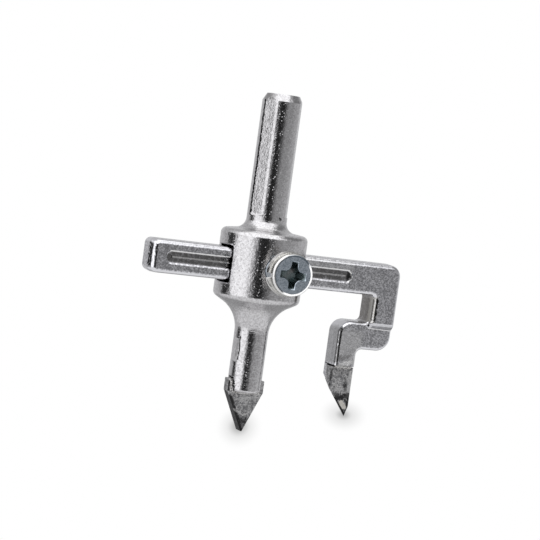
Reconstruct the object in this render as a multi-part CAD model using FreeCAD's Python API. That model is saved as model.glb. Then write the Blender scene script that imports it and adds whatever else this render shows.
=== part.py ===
import FreeCAD, Part
import math
import os

from FreeCAD import Vector

# Adjustable tile hole cutter, in millimetres.
# The origin is the centre of the shank's end face. +Z runs up the body's axis, out of the shank,
# so the tool hangs below Z = 0. +X runs along the arm towards the cutting leg, and the clamp screw
# faces -Y. Depths are measured down from the origin.

# Shank
shank_diameter = 10.0
shank_chamfer_length = 1.75
shank_chamfer_width = 0.93
flat_count = 3
flat_depth = 0.35
flat_length = 29.8
flat_bearing = 90.0
flat_edge_round = 1.5
shank_root_depth = 30.9
shank_flare_radius = 2.6

# Hub
hub_diameter = 21.5
hub_centre_depth = 42.4
hub_top_height = 8.5
hub_bottom_height = 8.0
hub_top_round = 1.4
hub_bottom_round = 1.5
hub_cone_diameter = 17.6
hub_cone_drop = 1.13

# Neck
neck_diameter = 8.4
neck_flare_radius = 8.05
neck_length = 14.8
neck_end_round = 0.7
pad_height = 5.9
pad_depth = 0.55
pad_start = 1.6

# Window for the arm
window_height = 9.1
window_width = 9.0
window_corner = 0.6
window_mouth_round = 0.4

# Arm
arm_inner_length = 29.5
arm_outer_length = 37.3
bar_height = 8.3
bar_thickness = 8.3
arm_back_gap = 0.1
arm_draft = 0.18
arm_edge_round = 1.1
bar_end_round = 1.6
elbow_round = 3.0
elbow_inner_round = 0.9
leg_width = 6.85
foot_top_drop = 10.95
foot_height = 7.1
foot_width = 5.85
foot_reach = 14.75
foot_knee_round = 3.4
foot_heel_round = 3.7
foot_crook_round = 1.2
foot_throat_round = 1.5
foot_setback = 1.3
foot_edge_round = 0.9
ledge_edge_round = 0.35
seat_drop = 22.55
backing_length = 2.4
backing_rise = 1.6

# Groove along the front of the arm
groove_start_gap = 3.55
groove_end_gap = 14.1
groove_width = 2.6
groove_depth = 0.8
groove_draft = 0.3
groove_offset = 0.15
groove_lip_round = 0.22
rib_width = 0.5
rib_height = 0.35
rib_end_gap = 1.5

# Carbide cutting tip
tip_thickness = 2.8
tip_setback = 1.5
tip_width = 6.05
tip_inner_drop = 28.45
tip_outer_drop = 32.8
tip_point_drop = 35.4
tip_point_inset = 0.8
tip_relief = 0.68
tip_land_width = 0.9
tip_land_depth = 0.25
seat_gap = 0.4
braze_gap = 0.1
braze_recess = 0.65
braze_bead = 0.45

# Carbide centre bit
bit_width = 9.4
bit_thickness = 2.8
bit_ear_height = 2.95
bit_point_length = 9.8
bit_point_width = 0.35
bit_point_offset = 0.2

# Clamp screw and lock washer
screw_diameter = 6.0
screw_clearance = 0.05
screw_length = 14.7
screw_tip_chamfer = 0.7
screw_tip_gap = 0.05
head_diameter = 10.0
head_height = 2.0
head_edge_round = 0.3
hole_mouth_chamfer = 0.4
recess_span = 6.5
recess_arm_width = 1.55
recess_blend_radius = 1.55
recess_depth = 2.8
recess_lip = 0.14
recess_foot_span = 3.3
recess_foot_arm_width = 1.0
recess_foot_blend = 0.95
recess_turn = 2.0
washer_outer_diameter = 10.9
washer_inner_diameter = 6.5
washer_thickness = 1.5
washer_lift = 0.35
washer_split_angle = 14.0
washer_split_bearing = 172.0
washer_head_gap = 0.02

# Values worked out from the sizes above
Z_AXIS = Vector(0, 0, 1)
Y_AXIS = Vector(0, 1, 0)
ORIGIN = Vector(0, 0, 0)
FAR = 60.0
OVERCUT = 1.0
TOUCHING = 1e-4

shank_radius = shank_diameter / 2
hub_radius = hub_diameter / 2
neck_radius = neck_diameter / 2
window_half = window_width / 2
arm_z = -hub_centre_depth
hub_top_z = arm_z + hub_top_height
hub_bottom_z = arm_z - hub_bottom_height
flare_centre_z = hub_bottom_z - hub_cone_drop - math.sqrt(
    neck_flare_radius ** 2 - (neck_radius + neck_flare_radius - hub_cone_diameter / 2) ** 2)
neck_end_z = flare_centre_z - neck_length

arm_back_y = window_half - arm_back_gap
arm_front_y = arm_back_y - bar_thickness
arm_mid_y = (arm_back_y + arm_front_y) / 2
foot_front_y = arm_front_y + foot_setback
leg_inner_x = arm_outer_length - leg_width
foot_inner_edge = arm_outer_length - foot_reach
foot_outer_x = foot_inner_edge + foot_width
foot_top_z = arm_z - foot_top_drop
foot_bottom_z = foot_top_z - foot_height
seat_z = arm_z - seat_drop
backing_end_z = seat_z - backing_length - backing_rise
groove_start = groove_start_gap - arm_inner_length
groove_end = arm_outer_length - groove_end_gap

tip_front_y = foot_front_y + tip_setback
tip_back_y = tip_front_y + tip_thickness
tip_top_z = seat_z - seat_gap
tip_outer_x = foot_inner_edge + tip_width

bit_shoulder_z = neck_end_z
bit_ear_top_z = bit_shoulder_z + bit_ear_height
bit_point_z = bit_shoulder_z - bit_point_length

screw_tip_y = arm_front_y - screw_tip_gap
head_seat_y = screw_tip_y - screw_length
head_face_y = head_seat_y - head_height
washer_front_y = head_seat_y + washer_head_gap


def box(x_range, y_range, z_range):
    """A box between two limits along each axis."""
    low = Vector(x_range[0], y_range[0], z_range[0])
    return Part.makeBox(x_range[1] - x_range[0], y_range[1] - y_range[0], z_range[1] - z_range[0], low)


def arc_through(start, centre, end):
    """The shorter arc from start to end about a centre, as one edge."""
    middle = (start - centre).normalize() + (end - centre).normalize()
    return Part.Arc(start, centre + middle.normalize() * (start - centre).Length, end).toShape()


def rounded_outline(corners):
    """A closed wire through corners given as (point, radius), with an arc at each radius above zero."""
    starts = []
    ends = []
    arcs = []
    count = len(corners)
    for index, (corner, radius) in enumerate(corners):
        before = (corners[index - 1][0] - corner).normalize()
        after = (corners[(index + 1) % count][0] - corner).normalize()
        half_angle = before.getAngle(after) / 2
        reach = radius / math.tan(half_angle)
        starts.append(corner + before * reach)
        ends.append(corner + after * reach)
        bisector = (before + after).normalize()
        arcs.append(corner + bisector * (radius / math.sin(half_angle)))
    edges = []
    for index, (corner, radius) in enumerate(corners):
        if radius > 0:
            edges.append(arc_through(starts[index], arcs[index], ends[index]))
        following = starts[(index + 1) % count]
        edges.append(Part.makeLine(ends[index], following))
    return Part.Wire(edges)


def prism(points, direction):
    """A solid made by pushing a closed polygon along a direction."""
    return Part.Face(Part.makePolygon(points + [points[0]])).extrude(direction)


def outside_of(plane_point, normal):
    """A large block that fills the side of a plane that its normal points to."""
    block = Part.makeBox(2 * FAR, 2 * FAR, 2 * FAR, Vector(-FAR, -FAR, 0))
    block.Placement = FreeCAD.Placement(plane_point, FreeCAD.Rotation(Z_AXIS, normal))
    return block


def rounded(solid, radius, chooses):
    """Rounds every edge that chooses(edge) picks."""
    return solid.makeFillet(radius, [edge for edge in solid.Edges if chooses(edge)])


def on_plane_y(edge, y):
    """Whether an edge lies in a plane of constant Y."""
    return abs(edge.BoundBox.YMin - y) < TOUCHING and abs(edge.BoundBox.YMax - y) < TOUCHING


def slot_outline(left, right, half_width, y, z):
    """A long slot's outline in a plane of constant Y, with a half circle at each end."""
    corners = [Vector(left + half_width, y, z + half_width), Vector(right - half_width, y, z + half_width),
               Vector(right - half_width, y, z - half_width), Vector(left + half_width, y, z - half_width)]
    edges = [
        Part.makeLine(corners[0], corners[1]),
        Part.Arc(corners[1], Vector(right, y, z), corners[2]).toShape(),
        Part.makeLine(corners[2], corners[3]),
        Part.Arc(corners[3], Vector(left, y, z), corners[0]).toShape(),
    ]
    return Part.Wire(edges)


def body_blank():
    """The turned form of the body: shank, flare, hub, lower flare and neck."""
    half = [
        Vector(0, 0, 0),
        Vector(shank_radius - shank_chamfer_width, 0, 0),
        Vector(shank_radius, 0, -shank_chamfer_length),
        Vector(shank_radius, 0, -shank_root_depth),
    ]
    edges = [Part.makeLine(a, b) for a, b in zip(half, half[1:])]

    root_centre = Vector(shank_radius + shank_flare_radius, 0, -shank_root_depth)
    flare_foot = root_centre - Vector(0, 0, shank_flare_radius)
    edges.append(arc_through(half[-1], root_centre, flare_foot))

    top_corner = Vector(hub_radius, 0, hub_top_z)
    bottom_corner = Vector(hub_radius, 0, hub_bottom_z)
    cone_foot = Vector(hub_cone_diameter / 2, 0, hub_bottom_z - hub_cone_drop)
    last = flare_foot
    rounds = ((top_corner, hub_top_round, bottom_corner), (bottom_corner, hub_bottom_round, cone_foot))
    for corner, radius, following in rounds:
        before = (last - corner).normalize()
        after = (following - corner).normalize()
        half_angle = before.getAngle(after) / 2
        reach = radius / math.tan(half_angle)
        centre = corner + (before + after).normalize() * (radius / math.sin(half_angle))
        edges.append(Part.makeLine(last, corner + before * reach))
        last = corner + after * reach
        edges.append(arc_through(corner + before * reach, centre, last))
    edges.append(Part.makeLine(last, cone_foot))

    flare_centre = Vector(neck_radius + neck_flare_radius, 0, flare_centre_z)
    neck_top = Vector(neck_radius, 0, flare_centre_z)
    edges.append(arc_through(cone_foot, flare_centre, neck_top))

    neck_side_end = Vector(neck_radius, 0, neck_end_z + neck_end_round)
    end_centre = neck_side_end - Vector(neck_end_round, 0, 0)
    end_edge = end_centre - Vector(0, 0, neck_end_round)
    edges.append(Part.makeLine(neck_top, neck_side_end))
    edges.append(arc_through(neck_side_end, end_centre, end_edge))
    edges.append(Part.makeLine(end_edge, Vector(0, 0, neck_end_z)))
    edges.append(Part.makeLine(Vector(0, 0, neck_end_z), ORIGIN))
    return Part.Face(Part.Wire(edges)).revolve(ORIGIN, Z_AXIS, 360)


def shank_flats():
    """The material taken off the shank, one block for each flat."""
    blocks = []
    for index in range(flat_count):
        block = box((shank_radius - flat_depth, FAR), (-shank_radius, shank_radius), (-flat_length, OVERCUT))
        block.rotate(ORIGIN, Z_AXIS, flat_bearing + index * 360 / flat_count)
        blocks.append(block)
    return blocks


def is_flat_side(edge):
    """Whether an edge runs down the side of a flat, where it meets the round of the shank."""
    bounds = edge.BoundBox
    upright = bounds.XLength < TOUCHING and bounds.YLength < TOUCHING and bounds.ZLength > flat_length / 2
    centre = bounds.Center
    on_shank = abs(math.hypot(centre.x, centre.y) - shank_radius) < TOUCHING
    return upright and on_shank and bounds.ZMin > -flat_length - TOUCHING


def window_tool():
    """The block that opens the hub along X for the arm."""
    half_height = window_height / 2
    corners = [(Vector(-FAR, y, arm_z + z), window_corner)
               for y, z in ((-window_half, -half_height), (window_half, -half_height),
                            (window_half, half_height), (-window_half, half_height))]
    return Part.Face(rounded_outline(corners)).extrude(Vector(2 * FAR, 0, 0))


def is_window_mouth(edge):
    """Whether an edge runs round the window where it breaks out of the hub."""
    bounds = edge.BoundBox
    mouth_corner_x = math.sqrt(hub_radius ** 2 - window_half ** 2)
    outside = min(abs(bounds.XMin), abs(bounds.XMax)) > mouth_corner_x - TOUCHING
    level = abs(bounds.Center.z - arm_z) < window_height / 2 + TOUCHING
    narrow = max(abs(bounds.YMin), abs(bounds.YMax)) < window_half + TOUCHING
    return outside and level and narrow


def bit_slot(thickness, top_z):
    """The space of a given thickness across the neck, up to a height."""
    return box((-FAR, FAR), (-thickness / 2, thickness / 2), (neck_end_z - FAR, top_z))


def make_body():
    """The one-piece body: three-flat shank, hub with its window, and slotted neck."""
    solid = body_blank()
    for block in shank_flats():
        solid = solid.cut(block)
    solid = rounded(solid, flat_edge_round, is_flat_side)
    solid = solid.cut(window_tool())
    solid = rounded(solid, window_mouth_round, is_window_mouth)

    bore_radius = screw_diameter / 2 + screw_clearance
    centre = Vector(0, 0, arm_z)
    solid = solid.cut(Part.makeCylinder(bore_radius, FAR, centre, -Y_AXIS))
    mouth_start = Vector(0, hole_mouth_chamfer - hub_radius, arm_z)
    mouth = Part.makeCone(bore_radius, bore_radius + hub_radius, hub_radius, mouth_start, -Y_AXIS)
    solid = solid.cut(mouth)

    solid = solid.cut(bit_slot(bit_thickness + 2 * braze_gap, bit_ear_top_z + braze_gap))
    pad_top = flare_centre_z - pad_start
    pad = box((-FAR, pad_depth - neck_radius), (-neck_radius, neck_radius), (pad_top - pad_height, pad_top))
    return solid.cut(pad)


def make_centre_bit():
    """The carbide spade in the neck's slot: two ears, shoulders and a slightly blunt point."""
    half = bit_width / 2
    point_half = bit_point_width / 2
    outline = [
        Vector(-half, -bit_thickness / 2, bit_ear_top_z),
        Vector(half, -bit_thickness / 2, bit_ear_top_z),
        Vector(half, -bit_thickness / 2, bit_shoulder_z),
        Vector(bit_point_offset + point_half, -bit_thickness / 2, bit_point_z),
        Vector(bit_point_offset - point_half, -bit_thickness / 2, bit_point_z),
        Vector(-half, -bit_thickness / 2, bit_shoulder_z),
    ]
    return prism(outline, Y_AXIS * bit_thickness)


def make_bit_braze(bit):
    """The braze that fills the slot round the centre bit."""
    inside = Part.makeCylinder(neck_radius, FAR, Vector(0, 0, neck_end_z + neck_end_round), Z_AXIS)
    slot = bit_slot(bit_thickness + 2 * braze_gap, bit_ear_top_z + braze_gap)
    return slot.common(inside).cut(bit)


def arm_outline():
    """The arm's outline in its parting plane, as corners with their radii, all at Y = 0."""
    top = arm_z + bar_height / 2
    bottom = arm_z - bar_height / 2
    corners = (
        (-arm_inner_length, top, bar_end_round),
        (arm_outer_length, top, elbow_round),
        (arm_outer_length, foot_bottom_z, foot_heel_round),
        (foot_outer_x, foot_bottom_z, foot_throat_round),
        (foot_outer_x, backing_end_z, 0),
        (foot_inner_edge, backing_end_z, 0),
        (foot_inner_edge, foot_top_z, foot_knee_round),
        (leg_inner_x, foot_top_z, foot_crook_round),
        (leg_inner_x, bottom, elbow_inner_round),
        (-arm_inner_length, bottom, bar_end_round),
    )
    return [(Vector(x, 0, z), radius) for x, z, radius in corners]


def arm_half(depth):
    """One half of the arm's casting, from the parting plane to a face, narrowed by the draft."""
    middle = Part.Face(rounded_outline(arm_outline()))
    face = middle.makeOffset2D(-arm_draft)
    wires = [middle.OuterWire.copy(), face.OuterWire.copy()]
    wires[0].translate(Vector(0, arm_mid_y, 0))
    wires[1].translate(Vector(0, arm_mid_y + depth, 0))
    return Part.makeLoft(wires, True, True)


def groove_tool():
    """The long groove in the arm's front, with its low middle rib left standing."""
    z = arm_z + groove_offset
    sections = []
    for y, inset in ((arm_front_y, 0), (arm_front_y + groove_depth, groove_draft)):
        half_width = groove_width / 2 - inset
        sections.append(slot_outline(groove_start + inset, groove_end - inset, half_width, y, z))
    pocket = Part.makeLoft(sections, True, True)
    rib = box((groove_start + rib_end_gap, groove_end - rib_end_gap),
              (arm_front_y + groove_depth - rib_height, arm_front_y + groove_depth + OVERCUT),
              (z - rib_width / 2, z + rib_width / 2))
    return pocket.cut(rib)


def foot_relief():
    """What is taken off the front of the foot, so that the upper leg ends in a sloping ledge."""
    front = arm_front_y - OVERCUT
    low = backing_end_z - OVERCUT
    high = foot_top_z + foot_crook_round + OVERCUT
    inner = box((foot_inner_edge - OVERCUT, leg_inner_x), (front, foot_front_y), (low, high))
    outline = [
        Vector(leg_inner_x, front, low),
        Vector(leg_inner_x, foot_front_y, low),
        Vector(leg_inner_x, foot_front_y, foot_top_z - foot_setback),
        Vector(leg_inner_x, arm_front_y, foot_top_z),
        Vector(leg_inner_x, front, foot_top_z),
    ]
    return inner.fuse(prism(outline, Vector(leg_width + OVERCUT, 0, 0))).removeSplitter()


def is_ledge_lip(edge):
    """Whether an edge is the upper lip of the ledge where the leg ends."""
    return on_plane_y(edge, arm_front_y) and abs(edge.BoundBox.Center.z - foot_top_z) < TOUCHING


def is_groove_lip(edge):
    """Whether an edge runs round the mouth of the groove."""
    bounds = edge.BoundBox
    level = abs(bounds.Center.z - arm_z - groove_offset) < groove_width / 2 + TOUCHING
    between = bounds.XMin > groove_start - TOUCHING and bounds.XMax < groove_end + TOUCHING
    return on_plane_y(edge, arm_front_y) and level and between


def is_foot_front_edge(edge):
    """Whether an edge runs round the foot's front face, apart from the ledge and the tip's seat."""
    bounds = edge.BoundBox
    on_ledge = abs(bounds.Center.z - (foot_top_z - foot_setback)) < TOUCHING
    beside_leg = bounds.ZMax > foot_top_z + TOUCHING
    at_seat = bounds.ZMax < seat_z + TOUCHING
    return on_plane_y(edge, foot_front_y) and not (on_ledge or beside_leg or at_seat)


def make_arm():
    """The cast arm: grooved bar, elbow, leg, inset foot and the seat for the cutting tip."""
    half = bar_thickness / 2
    solid = arm_half(half).fuse(arm_half(-half))
    for y in (arm_back_y, arm_front_y):
        solid = rounded(solid, arm_edge_round, lambda edge: on_plane_y(edge, y))
    solid = solid.cut(foot_relief())
    solid = solid.cut(groove_tool())
    solid = rounded(solid, groove_lip_round, is_groove_lip)

    seat = box((foot_inner_edge - OVERCUT, foot_outer_x + OVERCUT),
               (arm_front_y - OVERCUT, tip_back_y + braze_gap), (backing_end_z - OVERCUT, seat_z))
    solid = solid.cut(seat)
    slope = Vector(0, backing_rise, -(arm_back_y - tip_back_y)).normalize()
    solid = solid.cut(outside_of(Vector(0, tip_back_y, backing_end_z), slope))
    solid = rounded(solid, foot_edge_round, is_foot_front_edge)
    return rounded(solid, ledge_edge_round, is_ledge_lip)


def make_cutting_tip():
    """The carbide tip: flat rake face in front, a long inner and a short outer bevel, both relieved."""
    point_x = tip_outer_x - tip_point_inset
    point_z = arm_z - tip_point_drop
    outer_z = arm_z - tip_outer_drop
    inner_z = arm_z - tip_inner_drop
    outline = [
        Vector(foot_inner_edge, tip_front_y, tip_top_z),
        Vector(tip_outer_x, tip_front_y, tip_top_z),
        Vector(tip_outer_x, tip_front_y, outer_z),
        Vector(point_x, tip_front_y, point_z),
        Vector(foot_inner_edge, tip_front_y, inner_z),
    ]
    solid = prism(outline, Y_AXIS * tip_thickness)
    relief = Vector(0, 1, tip_relief)
    for start, end in ((outline[4], outline[3]), (outline[3], outline[2])):
        solid = solid.cut(outside_of(start, relief.cross(end - start).normalize()))
    land = Vector(tip_land_depth, -tip_land_width, 0).normalize()
    return solid.cut(outside_of(Vector(tip_outer_x - tip_land_width, tip_front_y, 0), land))


def make_tip_braze():
    """The braze behind and above the cutting tip, with a bead along the front."""
    back = box((foot_inner_edge, foot_outer_x), (tip_back_y, tip_back_y + braze_gap),
               (tip_top_z - backing_length, seat_z))
    top = box((foot_inner_edge + braze_recess, foot_outer_x - braze_recess),
              (tip_front_y - braze_bead, tip_back_y), (tip_top_z, seat_z))
    bead_points = [
        Vector(foot_inner_edge + braze_recess, tip_front_y, tip_top_z),
        Vector(foot_inner_edge + braze_recess, tip_front_y - braze_bead, tip_top_z),
        Vector(foot_inner_edge + braze_recess, tip_front_y, tip_top_z - braze_bead),
    ]
    bead = prism(bead_points, Vector(foot_width - 2 * braze_recess, 0, 0))
    return back.fuse([top, bead]).removeSplitter()


def recess_outline(span, arm_width, blend, y):
    """One level of the cross recess: four arms joined by concave arcs."""
    reach = span / 2
    half = arm_width / 2
    corners = []
    for quarter in range(4):
        turn = FreeCAD.Rotation(Y_AXIS, recess_turn - 90 * quarter)
        for x, z, radius in ((reach, -half, 0), (reach, half, 0), (half, half, blend)):
            corners.append((turn.multVec(Vector(x, 0, z)) + Vector(0, y, arm_z), radius))
    return rounded_outline(corners)


def recess_tool():
    """The cross recess, drawn in towards its foot, with a small bevel round its mouth."""
    bevel_y = head_face_y + recess_lip
    mouth = recess_outline(recess_span + 2 * recess_lip, recess_arm_width + 2 * recess_lip,
                           recess_blend_radius - recess_lip, head_face_y)
    edge = recess_outline(recess_span, recess_arm_width, recess_blend_radius, bevel_y)
    foot = recess_outline(recess_foot_span, recess_foot_arm_width, recess_foot_blend, head_face_y + recess_depth)
    bevel = Part.makeLoft([mouth, edge], True, True)
    return bevel.fuse(Part.makeLoft([edge, foot], True, True))


def make_clamp_screw():
    """The clamp screw: low flat head with a cross recess, and a shank that bears on the arm."""
    head = Part.makeCylinder(head_diameter / 2, head_height, Vector(0, head_face_y, arm_z), Y_AXIS)
    head = rounded(head, head_edge_round, lambda edge: on_plane_y(edge, head_face_y))
    radius = screw_diameter / 2
    straight = screw_length - screw_tip_chamfer
    shank = Part.makeCylinder(radius, straight, Vector(0, head_seat_y, arm_z), Y_AXIS)
    tip = Part.makeCone(radius, radius - screw_tip_chamfer, screw_tip_chamfer,
                        Vector(0, head_seat_y + straight, arm_z), Y_AXIS)
    solid = head.fuse([shank, tip]).removeSplitter()
    return solid.cut(recess_tool())


def make_lock_washer():
    """The split spring washer under the screw's head, its ends set apart along the screw."""
    turn = 1 - washer_split_angle / 360
    helix = Part.makeHelix(washer_lift / turn, washer_lift, washer_outer_diameter / 2)
    helix.rotate(ORIGIN, Z_AXIS, washer_split_bearing + washer_split_angle / 2)
    width = (washer_outer_diameter - washer_inner_diameter) / 2
    outer = washer_outer_diameter / 2
    section = Part.makePolygon([Vector(outer, 0, 0), Vector(outer, 0, washer_thickness),
                                Vector(outer - width, 0, washer_thickness), Vector(outer - width, 0, 0),
                                Vector(outer, 0, 0)])
    section.rotate(ORIGIN, Z_AXIS, washer_split_bearing + washer_split_angle / 2)
    sweep = Part.BRepOffsetAPI.MakePipeShell(Part.Wire(helix.Edges))
    sweep.setBiNormalMode(Z_AXIS)
    sweep.add(section)
    sweep.build()
    sweep.makeSolid()
    solid = sweep.shape()
    solid.rotate(ORIGIN, Vector(1, 0, 0), -90)
    solid.translate(Vector(0, washer_front_y, arm_z))
    return solid


def main():
    """Builds every piece and writes one STEP file for each."""
    os.makedirs("parts", exist_ok=True)
    centre_bit = make_centre_bit()
    pieces = {
        "body": make_body(),
        "centre_bit": centre_bit,
        "bit_braze": make_bit_braze(centre_bit),
        "arm": make_arm(),
        "cutting_tip": make_cutting_tip(),
        "tip_braze": make_tip_braze(),
        "clamp_screw": make_clamp_screw(),
        "lock_washer": make_lock_washer(),
    }
    for name, shape in pieces.items():
        solids = shape.Solids
        print(name, "solids", len(solids), "volume", round(shape.Volume, 2), "valid", shape.isValid())
        piece = solids[0] if len(solids) == 1 else Part.makeCompound(solids)
        piece.exportStep("parts/" + name + ".step")


if __name__ == "__main__":
    main()
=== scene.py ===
"""Looks of the adjustable tile hole cutter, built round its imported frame.

Objects are in metres, in the frame of the part: the origin is the centre of the shank's end face, +Z runs out
of the shank, +X along the arm towards the cutting leg, and the clamp screw faces -Y. Sizes and places that
are written as plain numbers are in millimetres, unless they say otherwise.
"""

import logging
import math
from dataclasses import asdict, dataclass, fields, replace
from enum import Enum
from typing import Any, Sequence

import bmesh
import bpy
from mathutils import Matrix, Vector


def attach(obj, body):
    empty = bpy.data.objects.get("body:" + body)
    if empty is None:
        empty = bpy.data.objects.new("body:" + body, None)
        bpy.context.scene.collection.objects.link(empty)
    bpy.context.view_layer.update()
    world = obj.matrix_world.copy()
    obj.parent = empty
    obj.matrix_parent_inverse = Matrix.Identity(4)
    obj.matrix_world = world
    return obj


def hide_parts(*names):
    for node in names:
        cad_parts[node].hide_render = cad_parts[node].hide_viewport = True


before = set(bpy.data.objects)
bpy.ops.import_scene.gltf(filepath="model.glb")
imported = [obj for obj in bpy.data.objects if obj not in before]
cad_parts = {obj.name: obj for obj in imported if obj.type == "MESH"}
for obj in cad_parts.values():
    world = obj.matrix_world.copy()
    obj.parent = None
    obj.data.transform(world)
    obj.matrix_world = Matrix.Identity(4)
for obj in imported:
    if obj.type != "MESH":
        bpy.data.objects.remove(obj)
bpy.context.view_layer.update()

LOG = logging.getLogger("tile_hole_cutter")
MM = 0.001
Socket = bpy.types.NodeSocket
Colour = tuple[float, float, float]
Place = tuple[float, float, float]


class Body(Enum):
    """The bodies of the frame that new pieces ride on."""

    HOLDER = "holder"
    ARM = "cutter_arm"
    SCREW = "screw"


class Slot(Enum):
    """Names of the record's material slots, which nothing in this script uses."""

    BRAZE = "braze"
    ZINC_SCREW = "zinc_screw"


def metres(place: Place) -> Place:
    """Turns a place from millimetres into metres."""
    return tuple(c * MM for c in place)


def add_object(name: str, data: bpy.types.ID) -> bpy.types.Object:
    """Adds an object to the scene.

    Args:
        name: Its name.
        data: Its mesh, curve, light or camera.

    Returns:
        The object.
    """
    made = bpy.data.objects.new(name, data)
    bpy.context.scene.collection.objects.link(made)
    return made


class Graph:
    """Adds nodes to one shader or geometry tree and links them."""

    def __init__(self, tree: bpy.types.NodeTree) -> None:
        """Keeps the tree to build in."""
        self.tree = tree

    def node(self, kind: str, inputs: dict[Any, Any] | None = None, **options: Any) -> bpy.types.Node:
        """Adds a node, sets its options and feeds its inputs.

        Args:
            kind: The node's type name.
            inputs: Values or sockets, by input name or number.
            options: Properties of the node.

        Returns:
            The new node.
        """
        made = self.tree.nodes.new(kind)
        for name, value in options.items():
            setattr(made, name, value)
        for key, value in (inputs or {}).items():
            self.feed(made.inputs[key], value)
        return made

    def feed(self, target: Socket, value: Any) -> None:
        """Links a socket to an input, or sets its value.

        Args:
            target: The input.
            value: A socket to link from, or a plain value.
        """
        if isinstance(value, bpy.types.NodeSocket):
            self.tree.links.new(value, target)
        else:
            target.default_value = value

    def maths(self, operation: str, *values: Any, clamp: bool = False) -> Socket:
        """Adds a Math node on sockets or numbers; clamped, its result is held between 0 and 1."""
        made = self.node("ShaderNodeMath", dict(enumerate(values)), operation=operation, use_clamp=clamp)
        return made.outputs[0]

    def vector_maths(self, operation: str, *vectors: Any, out: str = "Vector") -> Socket:
        """Adds a Vector Math node and gives its output of that name."""
        made = self.node("ShaderNodeVectorMath", dict(enumerate(vectors)), operation=operation)
        return made.outputs[out]

    def measure(self, operation: str, *vectors: Any) -> Socket:
        """Adds a Vector Math node that puts out a number, such as a length or a distance."""
        return self.vector_maths(operation, *vectors, out="Value")

    def scaled(self, vector: Any, factor: Socket) -> Socket:
        """Multiplies a vector by a number."""
        return self.node("ShaderNodeVectorMath", {0: vector, "Scale": factor}, operation="SCALE").outputs[0]

    def noise(self, place: Socket, scale: Any, detail: float, roughness: float = 0.5,
              distortion: float = 0.0) -> Socket:
        """Adds a Noise Texture read at a place, with its scale in features per metre."""
        inputs = {"Vector": place, "Scale": scale, "Detail": detail, "Roughness": roughness,
                  "Distortion": distortion}
        return self.node("ShaderNodeTexNoise", inputs).outputs["Fac"]

    def band(self, value: Socket, low: float, high: float, to_low: float = 0.0,
             to_high: float = 1.0) -> Socket:
        """Maps the range from low to high to another one, eased and held at both ends."""
        inputs = {"Value": value, "From Min": low, "From Max": high, "To Min": to_low, "To Max": to_high}
        return self.node("ShaderNodeMapRange", inputs, interpolation_type="SMOOTHSTEP").outputs["Result"]

    def mix(self, share: Any, first: Any, second: Any) -> Socket:
        """Mixes two colours.

        Args:
            share: How much of the second colour shows.
            first: Colour or socket at share 0.
            second: Colour or socket at share 1.

        Returns:
            The mixed colour.
        """
        made = self.node("ShaderNodeMix", data_type="RGBA")
        self.feed(made.inputs[0], share)
        for target, value in ((made.inputs[6], first), (made.inputs[7], second)):
            self.feed(target, value if isinstance(value, bpy.types.NodeSocket) else (*value, 1.0))
        return made.outputs[2]


class GroupGraph(Graph):
    """A node group with named inputs and outputs."""

    def __init__(self, name: str, kind: str, inputs: dict[str, str], outputs: dict[str, str]) -> None:
        """Starts the group with its sockets.

        Args:
            name: The group's name.
            kind: Shader or Geometry.
            inputs: The type of each input, by its name.
            outputs: The type of each output, by its name.
        """
        super().__init__(bpy.data.node_groups.new(name, f"{kind}NodeTree"))
        new_socket = self.tree.interface.new_socket
        for direction, sockets in (("INPUT", inputs), ("OUTPUT", outputs)):
            for socket, holds in sockets.items():
                new_socket(name=socket, in_out=direction, socket_type=f"NodeSocket{holds}")
        self.given = self.node("NodeGroupInput").outputs


class EffectGraph(GroupGraph):
    """A shader group that is read at its Vector input and puts out numbers."""

    EDGE_NOISE = 0.7

    def __init__(self, name: str, points: Sequence[str], numbers: Sequence[str],
                 outputs: Sequence[str] = ("Mask",)) -> None:
        """Starts the group.

        Args:
            name: The group's name.
            points: Names of further inputs that are places.
            numbers: Names of the inputs that are numbers.
            outputs: Names of the outputs.
        """
        inputs = dict.fromkeys(("Vector", *points), "Vector") | dict.fromkeys(numbers, "Float")
        super().__init__(name, "Shader", inputs, dict.fromkeys(outputs, "Float"))

    def scale(self, size: str) -> Socket:
        """Gives the scale at which a texture's features have the size of that input."""
        return self.maths("DIVIDE", 1.0, self.given[size])

    def cells(self, spacing: str) -> Any:
        """Adds a Voronoi Texture with cells as far apart as that input says, and gives its outputs."""
        return self.node("ShaderNodeTexVoronoi", {"Vector": self.given["Vector"], "Randomness": 1.0,
                                                  "Scale": self.scale(spacing)}).outputs

    def faded(self, away: Socket) -> Socket:
        """Turns a distance into a mask with a wandering, soft edge.

        Args:
            away: The distance in metres.

        Returns:
            The mask, 1 inside.
        """
        noise = self.noise(self.given["Vector"], 1.0 / (self.EDGE_NOISE * MM), detail=3.0, roughness=0.65)
        moved = self.maths("MULTIPLY", self.maths("SUBTRACT", noise, 0.5), self.given["Wander"])
        beyond = self.maths("SUBTRACT", self.maths("ADD", away, moved), self.given["Radius"])
        return self.maths("SUBTRACT", 1.0, self.maths("DIVIDE", beyond, self.given["Softness"], clamp=True))

    def close(self, **outputs: Socket) -> bpy.types.NodeTree:
        """Feeds the group's outputs and gives its tree."""
        self.node("NodeGroupOutput", outputs)
        return self.tree


@dataclass(frozen=True)
class Skin:
    """The sizes of a cast or etched skin, where the pits' width is a share of their spacing."""

    grain_size: float
    grain_height: float
    swell_size: float
    swell_height: float
    pit_spacing: float
    pit_width: float
    pit_depth: float
    nodule_height: float
    facet_size: float
    facet_height: float

    def inputs(self) -> dict[str, float]:
        """Gives the values of the cast skin group's inputs, by name."""
        return {input_name(size): value * (1.0 if size == "pit_width" else MM)
                for size, value in asdict(self).items()}


def input_name(size: str) -> str:
    """Gives the name that a field of Skin has as an input of the cast skin group."""
    return size.replace("_", " ").title()


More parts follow.
